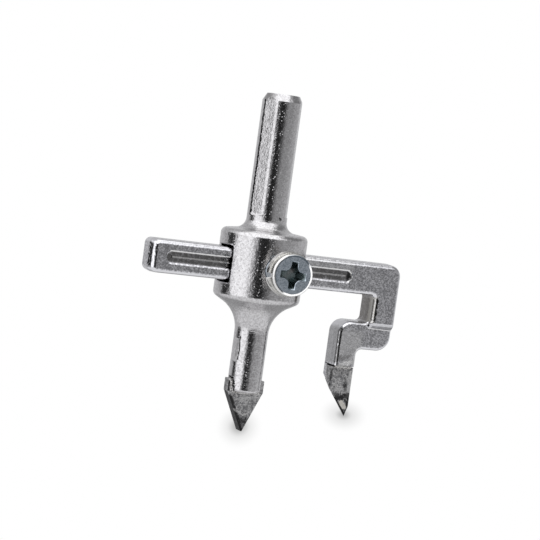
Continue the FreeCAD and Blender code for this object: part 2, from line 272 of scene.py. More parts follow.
class SurfaceEffects:
    """Shader node groups that several finishes share, each built once."""

    # The random values of a cell between which its pit, or its nodule, fades in
    PITTED_CELLS = (0.60, 0.85)
    KNOBBED_CELLS = (0.52, 0.22)
    GRAIN_IN_TONE = 0.55
    FACETS_IN_TONE = 0.45
    ARC_FADE = 0.25
    ENDS = ("Start", "End")
    REACH = ("Radius", "Softness", "Wander")

    def __init__(self) -> None:
        """Builds the groups."""
        self.cast_skin = self._cast_skin()
        self.specks = self._specks()
        self.streak = self._streak()
        self.zone = self._zone()
        self.ring = self._ring()

    def _cast_skin(self) -> bpy.types.NodeTree:
        """A cast or etched skin: fine grain on a slower swell, with scattered pits, nodules and sharp facets.

        Returns:
            The group, which gives a height in metres, a tone from 0 to 1 and a mask of the pits.
        """
        graph = EffectGraph("cast skin", (), [input_name(size.name) for size in fields(Skin)],
                            ("Height", "Tone", "Pits"))
        given = graph.given
        grain = graph.noise(given["Vector"], graph.scale("Grain Size"), detail=2.0, roughness=0.6)
        swell = graph.noise(given["Vector"], graph.scale("Swell Size"), detail=1.0)
        cells = graph.cells("Pit Spacing")
        facets = graph.cells("Facet Size")
        spot = graph.band(graph.maths("DIVIDE", cells["Distance"], given["Pit Width"]), 0.0, 1.0, 1.0, 0.0)
        pits = graph.maths("MULTIPLY", spot, graph.band(cells["Color"], *self.PITTED_CELLS))
        nodules = graph.maths("MULTIPLY", spot, graph.band(cells["Color"], *self.KNOBBED_CELLS))
        height = graph.maths("MULTIPLY", grain, given["Grain Height"])
        for operation, relief, size in (("ADD", swell, "Swell Height"), ("SUBTRACT", pits, "Pit Depth"),
                                        ("ADD", nodules, "Nodule Height"),
                                        ("ADD", facets["Distance"], "Facet Height")):
            height = graph.maths(operation, height, graph.maths("MULTIPLY", relief, given[size]))
        tone = graph.maths("ADD", graph.maths("MULTIPLY", grain, self.GRAIN_IN_TONE),
                           graph.maths("MULTIPLY", facets["Color"], self.FACETS_IN_TONE))
        return graph.close(Height=height, Tone=tone, Pits=pits)

    def _specks(self) -> bpy.types.NodeTree:
        """Scattered soft specks of a given size.

        Returns:
            The group, which gives a mask from 0 to 1.
        """
        graph = EffectGraph("specks", (), ("Size", "Threshold", "Softness"))
        value = graph.noise(graph.given["Vector"], graph.scale("Size"), detail=3.0, roughness=0.6,
                            distortion=0.4)
        over = graph.maths("SUBTRACT", value, graph.given["Threshold"])
        return graph.close(Mask=graph.maths("DIVIDE", over, graph.given["Softness"], clamp=True))

    def _streak(self) -> bpy.types.NodeTree:
        """A mask along a straight line.

        Returns:
            The group, with the line's two ends, its radius, soft edge and wander in metres.
        """
        graph = EffectGraph("streak", self.ENDS, self.REACH)
        given = graph.given
        line = graph.vector_maths("SUBTRACT", given["End"], given["Start"])
        rest = graph.vector_maths("SUBTRACT", given["Vector"], given["Start"])
        reach = graph.maths("DIVIDE", graph.measure("DOT_PRODUCT", rest, line),
                            graph.measure("DOT_PRODUCT", line, line), clamp=True)
        return graph.close(Mask=graph.faded(graph.measure("DISTANCE", rest, graph.scaled(line, reach))))

    def _zone(self) -> bpy.types.NodeTree:
        """A mask that fills a box.

        Returns:
            The group, with the box's lowest and highest corner, its rounding, soft edge and wander in metres.
        """
        graph = EffectGraph("zone", self.ENDS, self.REACH)
        under = graph.vector_maths("SUBTRACT", graph.given["Start"], graph.given["Vector"])
        over = graph.vector_maths("SUBTRACT", graph.given["Vector"], graph.given["End"])
        outside = graph.vector_maths("MAXIMUM", graph.vector_maths("MAXIMUM", under, over), (0.0, 0.0, 0.0))
        return graph.close(Mask=graph.faded(graph.measure("LENGTH", outside)))

    def _ring(self) -> bpy.types.NodeTree:
        """A mask along a circle round the Y axis, or along an arc of it.

        Returns:
            The group, with the circle's centre, the middle of its arc and the cosine at which the arc ends.
        """
        graph = EffectGraph("ring", self.ENDS, (*self.REACH, "Arc"))
        given = graph.given
        rest = graph.vector_maths("SUBTRACT", given["Vector"], given["Start"])
        out = graph.vector_maths("NORMALIZE", graph.vector_maths("MULTIPLY", rest, (1.0, 0.0, 1.0)))
        middle = graph.vector_maths("SUBTRACT", given["End"], given["Start"])
        rim = graph.scaled(out, graph.measure("LENGTH", middle))
        towards = graph.measure("DOT_PRODUCT", out, graph.vector_maths("NORMALIZE", middle))
        inside = graph.maths("SUBTRACT", towards, given["Arc"])
        within = graph.maths("DIVIDE", inside, self.ARC_FADE, clamp=True)
        circle = graph.faded(graph.measure("DISTANCE", rest, rim))
        return graph.close(Mask=graph.maths("MULTIPLY", within, circle))


@dataclass(frozen=True)
class Mark:
    """A patch of another colour, or of a leaning surface, placed on the part.

    Attributes:
        start: One end of a streak, the lowest corner of a box, or the centre of a ring.
        end: The streak's other end, the box's highest corner, or the middle of the ring's arc.
        radius: How far the patch reaches round them.
        soft: Width of its soft edge.
        wander: How far its edge wanders.
        colour: Its colour, if it has one.
        amount: How much of the colour shows.
        lean: What it adds to the surface's normal, if it leans.
        box: Whether it fills a box.
        arc: The cosine at which it ends, if it is a ring round the Y axis.
    """

    start: Place
    end: Place
    radius: float
    soft: float
    wander: float
    colour: Colour | None = None
    amount: float = 1.0
    lean: Place | None = None
    box: bool = False
    arc: float | None = None


class FinishGraph(Graph):
    """A material's tree with its Principled shader, Object coordinates and the shared effects."""

    SQUARE_FACES = (0.90, 0.985)

    def __init__(self, name: str, effects: SurfaceEffects) -> None:
        """Starts a material.

        Args:
            name: The material's name.
            effects: The shared groups.
        """
        self.material = bpy.data.materials.new(name)
        self.material.use_nodes = True
        super().__init__(self.material.node_tree)
        self.tree.nodes.clear()
        self.effects = effects
        self.shader = self.node("ShaderNodeBsdfPrincipled")
        self.node("ShaderNodeOutputMaterial", {"Surface": self.shader.outputs["BSDF"]})
        self.place = self.node("ShaderNodeTexCoord").outputs["Object"]

    def effect(self, tree: bpy.types.NodeTree, values: dict[str, Any]) -> Any:
        """Places a shared group with its values and gives its outputs."""
        return self.node("ShaderNodeGroup", {"Vector": self.place, **values}, node_tree=tree).outputs

    def speckled(self, size: float, threshold: float, softness: float) -> Socket:
        """A mask of specks of a size, where the noise is above the threshold."""
        values = {"Size": size * MM, "Threshold": threshold, "Softness": softness}
        return self.effect(self.effects.specks, values)["Mask"]

    def mask(self, mark: Mark) -> Socket:
        """Places the streak, zone or ring group for a mark.

        Args:
            mark: The mark.

        Returns:
            Its mask.
        """
        values = {"Start": metres(mark.start), "End": metres(mark.end), "Radius": mark.radius * MM,
                  "Softness": mark.soft * MM, "Wander": mark.wander * MM}
        if mark.box:
            return self.effect(self.effects.zone, values)["Mask"]
        if mark.arc is None:
            return self.effect(self.effects.streak, values)["Mask"]
        return self.effect(self.effects.ring, {**values, "Arc": mark.arc})["Mask"]

    def marked(self, colour: Socket, marks: Sequence[Mark]) -> Socket:
        """Lays the coloured marks over a colour, in order.

        Args:
            colour: The colour below.
            marks: The marks, of which those with a colour count.

        Returns:
            The colour with its marks.
        """
        for mark in marks:
            if mark.colour is not None:
                colour = self.mix(self.maths("MULTIPLY", self.mask(mark), mark.amount), colour, mark.colour)
        return colour

    def relief(self, height: Socket, marks: Sequence[Mark]) -> None:
        """Feeds a height in metres to the shader's normal, over marks where the surface leans.

        Args:
            height: The height.
            marks: The marks, of which those with a lean count.
        """
        bump = self.node("ShaderNodeBump", {"Strength": 1.0, "Distance": 1.0, "Height": height})
        leaning = [mark for mark in marks if mark.lean is not None]
        if leaning:
            normal = self.node("ShaderNodeNewGeometry").outputs["Normal"]
            for mark in leaning:
                normal = self.vector_maths("ADD", normal, self.scaled(mark.lean, self.mask(mark)))
            self.feed(bump.inputs["Normal"], self.vector_maths("NORMALIZE", normal))
        self.feed(self.shader.inputs["Normal"], bump.outputs["Normal"])

    def broad(self) -> Socket:
        """A mask of the faces that lie square to an axis, without the rounded edges between them.

        Returns:
            The mask.
        """
        normal = self.node("ShaderNodeTexCoord").outputs["Normal"]
        split = self.node("ShaderNodeSeparateXYZ", {"Vector": self.vector_maths("ABSOLUTE", normal)}).outputs
        most = self.maths("MAXIMUM", self.maths("MAXIMUM", split[0], split[1]), split[2])
        return self.band(most, *self.SQUARE_FACES)

    def near(self, spot: Place, inner: float, outer: float) -> Socket:
        """A round mask about a spot, 1 up to the inner radius and faded out at the outer one."""
        return self.band(self.measure("DISTANCE", self.place, metres(spot)), inner * MM, outer * MM, 1.0, 0.0)


@dataclass(frozen=True)
class Metal:
    """A metal with a fine skin and marks, such as zinc plate or braze.

    Attributes:
        name: The material's name.
        skin: The sizes of its skin.
        colour: Its colour.
        shade: The darker colour of the low spots in its grain.
        tones: The tones of the skin at which the shade starts and ends.
        roughness: Its roughness in the low and in the high spots.
        marks: The marks on it, in the order in which they are laid.
        rough_tones: The tones of the skin between which the roughness changes.
        metallic: How metallic it is.
    """

    name: str
    skin: Skin
    colour: Colour
    shade: Colour
    tones: tuple[float, float]
    roughness: tuple[float, float]
    marks: tuple[Mark, ...]
    rough_tones: tuple[float, float] = (0.3, 0.7)
    metallic: float = 1.0

    def paint(self, graph: FinishGraph, skin: Any) -> Socket:
        """Mixes the colour that lies under the marks."""
        return graph.mix(graph.band(skin["Tone"], *self.tones), self.shade, self.colour)

    def height(self, graph: FinishGraph, skin: Any) -> Socket:
        """Gives the height of the surface in metres."""
        return skin["Height"]

    def build(self, effects: SurfaceEffects) -> bpy.types.Material:
        """Builds the material.

        Args:
            effects: The shared groups.

        Returns:
            The material.
        """
        graph = FinishGraph(self.name, effects)
        skin = graph.effect(effects.cast_skin, self.skin.inputs())
        inputs = graph.shader.inputs
        graph.feed(inputs["Base Color"], graph.marked(self.paint(graph, skin), self.marks))
        graph.feed(inputs["Roughness"], graph.band(skin["Tone"], *self.rough_tones, *self.roughness))
        graph.feed(inputs["Metallic"], self.metallic)
        graph.relief(self.height(graph, skin), self.marks)
        return graph.material


@dataclass(frozen=True)
class CastNickel(Metal):
    """Bright nickel over a cast skin, with dull specks and pits.

    The dings are small dents, each a place with a radius; their floor and depth are shares of that.
    """

    dull: Colour = (0.28, 0.275, 0.28)
    speck_size: float = 0.42
    speck_level: float = 0.56
    speck_amount: float = 0.26
    speck_soft: float = 0.10
    pit_amount: float = 0.6
    clean_edges: bool = False
    dings: tuple[tuple[Place, float], ...] = ()
    ding_floor: float = 0.3
    ding_depth: float = 0.6

    def paint(self, graph: FinishGraph, skin: Any) -> Socket:
        """Adds the specks and pits.

        Args:
            graph: The material's tree.
            skin: The outputs of its skin.

        Returns:
            The colour under the marks.
        """
        colour = super().paint(graph, skin)
        specks = graph.speckled(self.speck_size, self.speck_level, self.speck_soft)
        for share, amount in ((specks, self.speck_amount), (skin["Pits"], self.pit_amount)):
            colour = graph.mix(graph.maths("MULTIPLY", share, amount), colour, self.dull)
        return graph.mix(graph.broad(), self.colour, colour) if self.clean_edges else colour

    def height(self, graph: FinishGraph, skin: Any) -> Socket:
        """Sinks the dents into the skin.

        Args:
            graph: The material's tree.
            skin: The outputs of its skin.

        Returns:
            The height of the surface in metres.
        """
        height = skin["Height"]
        for spot, radius in self.dings:
            hole = graph.maths("MULTIPLY", graph.near(spot, self.ding_floor * radius, radius),
                               self.ding_depth * radius * MM)
            height = graph.maths("SUBTRACT", height, hole)
        return height


@dataclass(frozen=True)
class BrazedCarbide(Metal):
    """Sintered carbide, mottled and darkened by the brazing heat towards its edge.

    The heat is given by the heights at which it starts and is full, its noise by features per metre, and the
    mottled patches by their size, noise level and soft edge.
    """

    spot: Colour = (0.08, 0.08, 0.085)
    spot_amount: float = 0.8
    burnt: Colour = (0.05, 0.05, 0.05)
    burnt_amount: float = 0.94
    burnt_tones: tuple[float, float] = (0.46, 0.62)
    heat: tuple[float, float] = (0.0, 0.0)
    heat_noise: float = 900.0
    heat_wander: float = 4.0
    patches: tuple[float, float, float] = (1.3, 0.50, 0.14)

    def paint(self, graph: FinishGraph, skin: Any) -> Socket:
        """Lays the mottled patches, the pits and the burnt edge.

        Args:
            graph: The material's tree.
            skin: The outputs of its skin.

        Returns:
            The colour under the marks.
        """
        colour = graph.mix(graph.speckled(*self.patches), self.colour, self.shade)
        colour = graph.mix(graph.band(skin["Tone"], *self.tones), self.shade, colour)
        colour = graph.mix(graph.maths("MULTIPLY", skin["Pits"], self.spot_amount), colour, self.spot)
        up = graph.node("ShaderNodeSeparateXYZ", {"Vector": graph.place}).outputs[2]
        noise = graph.noise(graph.place, self.heat_noise, detail=3.0, roughness=0.65)
        wander = graph.maths("MULTIPLY", graph.maths("SUBTRACT", noise, 0.5), self.heat_wander * MM)
        shifted = graph.maths("ADD", up, wander)
        heat = graph.band(shifted, *(height * MM for height in self.heat))
        burnt = graph.mix(graph.band(skin["Tone"], *self.burnt_tones), self.burnt, self.shade)
        return graph.mix(graph.maths("MULTIPLY", heat, self.burnt_amount), colour, burnt)


# The black, grey and near-white colours below are soot, dirt and clean metal in some marks, and painted shade,
# painted dark reflections and painted highlights in others.
SOOT_AND_PAINTED_SHADE: Colour = (0.03, 0.03, 0.03)
GREY_DIRT_AND_PAINTED_SHADE: Colour = (0.17, 0.165, 0.16)
BROWN_DIRT: Colour = (0.20, 0.185, 0.17)
CLEAN_METAL_AND_PAINTED_HIGHLIGHT: Colour = (0.95, 0.945, 0.93)
SEAT_LEAN: Place = (0.0, 0.0, -0.30)
GROOVE_END = (((22.6, -3.9, -41.0), (23.32, -3.9, -41.8)), ((23.36, -3.9, -41.8), (23.36, -3.9, -42.7)),
              ((23.32, -3.9, -42.7), (22.6, -3.9, -43.5)))

BODY_MARKS = (
    Mark((1.25, -4.84, -29.9), (1.75, -4.68, -30.3), 0.2, 0.12, 0.8, SOOT_AND_PAINTED_SHADE, 0.9),
    Mark((-5.1, -2.9, -1.4), (-3.0, 0.4, -0.3), 0.1, 0.2, 0.6, GREY_DIRT_AND_PAINTED_SHADE, 0.45, box=True),
    Mark((-4.93, -0.8, -1.9), (-4.93, -0.8, -29.7), 0.2, 0.1, 1.9, SOOT_AND_PAINTED_SHADE, 0.95),
    Mark((-5.2, -4.2, -29.95), (-2.9, -0.5, -29.55), 0.0, 0.1, 0.1, lean=(0.0, -0.3, 0.0), box=True),
    Mark((-4.19, 0.2, -70.07), (-3.89, -1.58, -70.42), 0.22, 0.1, 1.0, SOOT_AND_PAINTED_SHADE),
    Mark((-3.89, -1.58, -70.42), (-3.56, -2.22, -71.7), 0.26, 0.1, 1.6, SOOT_AND_PAINTED_SHADE),
    Mark((-3.54, -2.25, -71.7), (-3.56, -2.22, -73.4), 0.24, 0.1, 1.6, SOOT_AND_PAINTED_SHADE),
    Mark((-3.63, -2.11, -60.0), (-3.5, -2.32, -63.2), 0.15, 0.08, 0.8, SOOT_AND_PAINTED_SHADE, 0.95),
    Mark((-3.5, -2.32, -63.2), (-3.58, -2.2, -65.5), 0.15, 0.08, 0.8, SOOT_AND_PAINTED_SHADE, 0.95),
    Mark((-4.14, 0.7, -65.78), (-4.03, -1.19, -66.21), 0.15, 0.08, 0.5, SOOT_AND_PAINTED_SHADE, 0.85),
    Mark((-4.03, -1.19, -66.21), (-3.58, -2.2, -65.5), 0.12, 0.08, 0.5, SOOT_AND_PAINTED_SHADE, 0.6),
    Mark((-3.9, -1.2, -60.5), (-3.8, -0.9, -64.5), 0.35, 0.5, 3.4, GREY_DIRT_AND_PAINTED_SHADE, 0.45),
)
ARM_MARKS = (
    # Painted shade: the groove's channels are painted dark where shade falls in them, and the rib between them
    # is painted light grey again.
    Mark((-26.0, -3.36, -43.9), (23.6, -2.9, -40.6), 0.0, 0.14, 0.35, GREY_DIRT_AND_PAINTED_SHADE, 0.88, box=True),
    Mark((-24.6, -3.3, -42.2), (22.0, -3.3, -42.2), 0.16, 0.08, 0.2, (0.80, 0.79, 0.77), 0.95),
    # Painted highlights: a light line along the groove's upper lip and round its right end, with painted shade
    # in the dark pocket at that end.
    Mark((-25.2, -4.1, -40.98), (22.6, -3.6, -40.68), 0.0, 0.07, 0.16, CLEAN_METAL_AND_PAINTED_HIGHLIGHT, 0.9, box=True),
    Mark((22.3, -3.3, -43.0), (23.3, -2.9, -41.4), 0.0, 0.2, 0.4, SOOT_AND_PAINTED_SHADE, 0.9, box=True),
    *(Mark(start, end, 0.24, 0.08, 0.3, CLEAN_METAL_AND_PAINTED_HIGHLIGHT) for start, end in GROOVE_END),
    Mark((28.6, -1.9, -53.0), (31.15, 5.0, -46.9), 0.0, 0.5, 0.9, BROWN_DIRT, 0.88, box=True),
    # Painted light: the lower front of the foot and a band above the right half of the groove are painted
    # lighter.
    Mark((23.5, -2.7, -62.6), (28.0, -2.4, -56.8), 0.2, 1.6, 1.2, CLEAN_METAL_AND_PAINTED_HIGHLIGHT, 0.48, box=True),
    Mark((6.0, -4.1, -40.4), (23.5, -3.7, -38.6), 0.0, 0.5, 0.8, CLEAN_METAL_AND_PAINTED_HIGHLIGHT, 0.34, box=True),
    Mark((28.6, -3.4, -53.0), (31.15, -1.6, -46.9), 0.1, 0.3, 1.6, (0.47, 0.455, 0.42), 0.85, box=True),
    # Painted highlight and painted dark reflection: a light streak and a black line along the leg's front edge.
    Mark((31.15, -3.8, -46.9), (31.15, -3.8, -53.0), 0.25, 0.15, 1.0, (0.60, 0.58, 0.53), 0.6),
    Mark((31.47, -3.95, -47.4), (31.4, -3.95, -52.9), 0.1, 0.08, 1.5, SOOT_AND_PAINTED_SHADE, 0.9),
    Mark((22.98, -2.45, -55.0), (22.98, -2.45, -62.6), 0.24, 0.1, 2.0, SOOT_AND_PAINTED_SHADE),
    Mark((22.98, -2.45, -61.5), (23.1, -2.45, -64.3), 0.16, 0.22, 2.6, GREY_DIRT_AND_PAINTED_SHADE, 0.9),
    # Painted highlight along the foot's lower front edge, where the surface also leans.
    Mark((24.4, -2.6, -64.6), (28.4, -2.6, -63.5), 0.45, 0.25, 2.2, CLEAN_METAL_AND_PAINTED_HIGHLIGHT, 0.9, lean=(0.10, -0.05, 0.22)),
    Mark((23.6, -2.6, -63.1), (26.2, -2.6, -62.3), 0.25, 0.5, 2.4, GREY_DIRT_AND_PAINTED_SHADE, 0.5),
    # Painted shadow: a thin dark layer in the gap between the foot and the cutting tip.
    Mark((22.0, -2.7, -65.1), (28.8, 4.6, -64.92), 0.0, 0.03, 0.0, SOOT_AND_PAINTED_SHADE, box=True),
    # Painted shade and painted highlights at the ledge: a dark band in the step, with light lines along its
    # edges.
    Mark((31.2, -3.7, -54.7), (37.6, -2.6, -54.05), 0.0, 0.08, 0.2, (0.33, 0.33, 0.34), 0.9, box=True),
    Mark((31.6, -3.9, -53.62), (37.1, -3.9, -53.9), 0.06, 0.08, 0.2, CLEAN_METAL_AND_PAINTED_HIGHLIGHT, lean=SEAT_LEAN),
    Mark((30.6, -2.6, -54.8), (36.9, -2.6, -54.95), 0.05, 0.08, 0.2, CLEAN_METAL_AND_PAINTED_HIGHLIGHT, lean=SEAT_LEAN),
    Mark((29.7, -2.6, -54.1), (30.6, -2.6, -54.8), 0.06, 0.08, 0.2, lean=SEAT_LEAN),
    Mark((28.0, -2.5, -53.4), (30.4, -2.7, -53.5), 0.26, 0.16, 0.9, GREY_DIRT_AND_PAINTED_SHADE, 0.75),
    Mark((23.6, -2.6, -53.7), (24.8, -2.6, -53.35), 0.16, 0.2, 0.6, GREY_DIRT_AND_PAINTED_SHADE, 0.6),
    # Painted shade: the foot's inner side is painted darker.
    Mark((22.4, -2.2, -64.0), (22.75, 4.6, -53.6), 0.1, 0.4, 0.8, (0.42, 0.42, 0.42), 0.62, box=True),
    Mark((-29.9, -3.1, -45.6), (-29.2, -1.3, -39.0), 0.1, 0.7, 5.0, lean=(0.0, -0.40, 0.0), box=True),
    # Painted dark reflection: a black streak down the arm's left end.
    Mark((-29.5, -1.3, -45.0), (-29.5, -1.0, -39.6), 0.25, 0.2, 3.0, SOOT_AND_PAINTED_SHADE, 0.8),
    Mark((-25.2, -4.1, -43.98), (22.6, -3.6, -43.52), 0.0, 0.07, 0.16, lean=(0.0, 0.0, 0.42), box=True),
    *(Mark(start, end, 0.24, 0.08, 0.4, lean=(-0.9, -0.2, 0.0)) for start, end in GROOVE_END),
    Mark((-25.2, -4.1, -40.98), (22.6, -3.6, -40.68), 0.0, 0.07, 0.16, lean=(0.0, 0.0, -0.42), box=True),
)
TIP_MARKS = (
    Mark((27.9, -1.1, -66.4), (28.45, -1.1, -72.6), 0.42, 0.2, 0.9, CLEAN_METAL_AND_PAINTED_HIGHLIGHT, 0.45),
    Mark((26.75, -1.1, -68.0), (27.1, -1.1, -70.0), 0.16, 0.36, 2.2, SOOT_AND_PAINTED_SHADE, 0.5),
    Mark((27.0, -1.1, -69.8), (27.35, -1.1, -72.4), 0.24, 0.32, 2.2, SOOT_AND_PAINTED_SHADE, 0.66),
    Mark((27.75, -1.1, -65.9), (27.35, -1.1, -67.3), 0.18, 0.24, 1.6, SOOT_AND_PAINTED_SHADE, 0.55),
    Mark((22.85, -1.1, -65.9), (22.62, -1.1, -70.7), 0.14, 0.18, 1.3, SOOT_AND_PAINTED_SHADE, 0.75),
    Mark((23.2, -1.1, -66.3), (26.8, -1.1, -66.6), 0.3, 0.7, 2.6, SOOT_AND_PAINTED_SHADE, 0.24),
    Mark((25.2, -1.1, -72.9), (28.6, -1.1, -72.7), 0.66, 0.42, 2.6, SOOT_AND_PAINTED_SHADE, 0.84),
    Mark((24.9, -1.1, -73.7), (26.6, -1.1, -72.9), 0.35, 0.35, 2.2, SOOT_AND_PAINTED_SHADE, 0.75),
    Mark((26.55, -1.1, -74.45), (27.45, -1.1, -75.45), 0.58, 0.06, 0.9, (0.86, 0.83, 0.76)),
    Mark((27.55, -1.1, -73.6), (28.4, -1.1, -74.9), 0.32, 0.1, 0.7, SOOT_AND_PAINTED_SHADE, 0.9),
    Mark((25.3, -1.1, -74.2), (27.7, -1.1, -77.2), 0.24, 0.12, 0.4, SOOT_AND_PAINTED_SHADE, 0.9),
    Mark((28.2, -1.1, -73.2), (28.45, -1.1, -75.6), 0.22, 0.12, 0.5, SOOT_AND_PAINTED_SHADE, 0.8),
    # Painted shadow: a thin dark layer in the gap between the foot and the cutting tip.
    Mark((22.0, -1.2, -65.4), (29.0, 2.2, -65.33), 0.0, 0.03, 0.0, SOOT_AND_PAINTED_SHADE, box=True),
)
BIT_MARKS = (
    Mark((-3.95, 0.1, -75.25), (-0.1, 0.1, -83.3), 1.62, 0.16, 0.7, SOOT_AND_PAINTED_SHADE, 0.95),
    Mark((-4.62, -1.4, -70.9), (-4.62, -1.4, -73.3), 0.2, 0.1, 0.4, SOOT_AND_PAINTED_SHADE, 0.95),
    Mark((-3.1, -1.5, -74.6), (-2.8, -1.5, -74.9), 0.1, 0.14, 0.4, SOOT_AND_PAINTED_SHADE, 0.8),
    Mark((-2.46, -1.4, -78.1), (0.23, -1.4, -79.45), 0.1, 0.16, 0.9, CLEAN_METAL_AND_PAINTED_HIGHLIGHT, 0.45),
    Mark((0.23, -1.4, -79.45), (2.21, -1.4, -78.25), 0.1, 0.16, 0.9, CLEAN_METAL_AND_PAINTED_HIGHLIGHT, 0.45),
    Mark((2.9, -1.5, -74.9), (-0.2, -1.5, -74.9), 0.25, 0.5, 1.4, CLEAN_METAL_AND_PAINTED_HIGHLIGHT, 0.35),
)
BRAZE_MARKS = (
    # Painted shadow: a thin dark layer in the gap between the foot and the cutting tip.
    Mark((23.0, -1.9, -65.5), (23.3, 5.0, -64.7), 0.0, 0.06, 0.1, SOOT_AND_PAINTED_SHADE, box=True),
)
SCREW_MARKS = (
    Mark((-3.3, -16.9, -46.2), (-0.9, -11.2, -38.6), 0.0, 0.8, 0.4, (0.30, 0.305, 0.31), 0.7, box=True),
    # Painted highlight: a light ring round the left of the head's side.
    Mark((0.0, -19.6, -42.4), (-4.9, -19.6, -43.4), 0.98, 0.1, 0.2, (0.84, 0.83, 0.80), 0.9, arc=-0.5),
    # Painted highlights round the rim of the head and the mouth of its recess, where the surface also leans;
    # painted shade inside the recess and in a dark line round the rim.
    Mark((0.0, -20.1, -42.4), (-4.9, -20.1, -43.4), 0.36, 0.1, 0.5, CLEAN_METAL_AND_PAINTED_HIGHLIGHT, lean=(0.0, -0.7, 0.0), arc=0.0),
    Mark((-3.3, -20.42, -45.7), (3.3, -17.0, -39.1), 0.0, 0.1, 0.0, (0.17, 0.21, 0.21), 0.9, box=True),
    Mark((0.0, -20.65, -42.4), (-4.5, -20.65, -43.5), 0.12, 0.1, 0.3, (0.12, 0.15, 0.18), 0.8, arc=-1.5),
    Mark((0.0, -20.6, -42.4), (-4.85, -20.6, -43.5), 0.26, 0.08, 0.2, CLEAN_METAL_AND_PAINTED_HIGHLIGHT, lean=(-0.3, -0.4, 0.0), arc=0.2),
    Mark((0.0, -20.6, -42.4), (3.6, -20.6, -45.4), 0.2, 0.08, 0.2, CLEAN_METAL_AND_PAINTED_HIGHLIGHT, lean=(-1.3, -0.4, 0.5), arc=0.1),
    Mark((-1.6, -18.9, -43.6), (0.6, -18.4, -41.4), 0.5, 0.5, 0.9, (0.42, 0.36, 0.35), 0.5),
)
WASHER_MARKS = (
    # Painted highlight: a light crescent on the washer's upper left, where the surface also leans; painted shade
    # at the washer's split.
    Mark((0.0, -17.8, -42.4), (-3.9, -17.8, -46.2), 1.1, 0.2, 0.5, (0.93, 0.925, 0.90), 0.9,
         lean=(0.0, -0.35, 0.0), arc=0.55),
    Mark((-5.6, -18.0, -41.2), (-5.2, -17.4, -42.6), 0.35, 0.3, 0.7, SOOT_AND_PAINTED_SHADE, 0.8),
    Mark((-4.6, -18.0, -45.6), (-5.0, -17.6, -44.6), 0.3, 0.3, 0.6, GREY_DIRT_AND_PAINTED_SHADE, 0.8),
)


class Finishes:
    """Every finish of the tool, built once."""

    NICKEL_SKIN = Skin(grain_size=0.42, grain_height=0.036, swell_size=1.5, swell_height=0.05,
                       pit_spacing=0.44, pit_width=0.34, pit_depth=0.035, nodule_height=0.040,
                       facet_size=0.36, facet_height=0.010)
    CARBIDE_SKIN = Skin(grain_size=0.36, grain_height=0.05, swell_size=1.3, swell_height=0.09,
                        pit_spacing=0.8, pit_width=0.36, pit_depth=0.05, nodule_height=0.05,
                        facet_size=0.34, facet_height=0.03)
    BRAZE_SKIN = Skin(grain_size=0.25, grain_height=0.03, swell_size=0.8, swell_height=0.06,
                      pit_spacing=0.6, pit_width=0.3, pit_depth=0.03, nodule_height=0.03,
                      facet_size=0.3, facet_height=0.02)
    ZINC_SKIN = Skin(grain_size=0.34, grain_height=0.012, swell_size=1.4, swell_height=0.008,
                     pit_spacing=0.9, pit_width=0.25, pit_depth=0.01, nodule_height=0.008,
                     facet_size=0.34, facet_height=0.012)
    NICKEL = {"tones": (0.32, 0.64), "roughness": (0.17, 0.08), "rough_tones": (0.25, 0.75)}
    CARBIDE = {"skin": CARBIDE_SKIN, "colour": (0.66, 0.655, 0.65), "shade": (0.25, 0.25, 0.255),
               "tones": (0.36, 0.56), "roughness": (0.46, 0.32), "metallic": 0.95}

    def __init__(self) -> None:
        """Builds the materials."""
        smoother = replace(self.NICKEL_SKIN, grain_height=0.018, pit_depth=0.02, nodule_height=0.018,
                           facet_height=0.006)
        body = CastNickel("nickel on the body", skin=self.NICKEL_SKIN, colour=(0.80, 0.795, 0.80),
                          shade=(0.60, 0.59, 0.595), marks=BODY_MARKS,
                          dings=(((1.46, -4.78, -30.2), 0.4),), **self.NICKEL)
        arm = CastNickel("nickel on the arm", skin=smoother, colour=(0.91, 0.91, 0.935),
                         shade=(0.45, 0.45, 0.47), marks=ARM_MARKS, speck_size=0.36, speck_level=0.50,
                         speck_amount=0.7, clean_edges=True, **self.NICKEL)
        bit = BrazedCarbide("carbide of the centre bit", marks=BIT_MARKS, heat=(-78.7, -80.3), **self.CARBIDE)
        tip = BrazedCarbide("carbide of the cutting tip", marks=TIP_MARKS, heat=(-74.5, -76.6),
                            **self.CARBIDE)
        braze = Metal("braze", skin=self.BRAZE_SKIN, colour=(0.84, 0.83, 0.81), shade=(0.32, 0.305, 0.29),
                      tones=(0.35, 0.55), roughness=(0.4, 0.22), marks=BRAZE_MARKS)
        screw = Metal("zinc on the screw", skin=self.ZINC_SKIN, colour=(0.60, 0.665, 0.735),
                      shade=(0.34, 0.395, 0.445), tones=(0.34, 0.62), roughness=(0.34, 0.22),
                      marks=SCREW_MARKS)
        washer = Metal("spring steel of the washer", skin=replace(self.ZINC_SKIN, grain_height=0.02),
                       colour=(0.86, 0.85, 0.82), shade=(0.56, 0.55, 0.52), tones=(0.34, 0.62),
                       roughness=(0.30, 0.18), marks=WASHER_MARKS)
        effects = SurfaceEffects()
        self.body, self.arm, self.bit, self.tip, self.braze, self.screw, self.washer = (
            finish.build(effects) for finish in (body, arm, bit, tip, braze, screw, washer))


@dataclass(frozen=True)
class Shade:
    """The soft shade on the ground round one point that the tool stands on.

    Attributes:
        name: The shade's name.
        point: The point, in metres.
        body: The body that the point is on.
        beyond: How far behind the point the shade's middle is.
        stretch: How much longer the shade is away from the camera, from 0 to 1.
        rings: The radius and the depth of each of its rounds.
    """

    name: str
    point: Vector
    body: Body
    beyond: float
    stretch: float
    rings: tuple[tuple[float, float], ...]


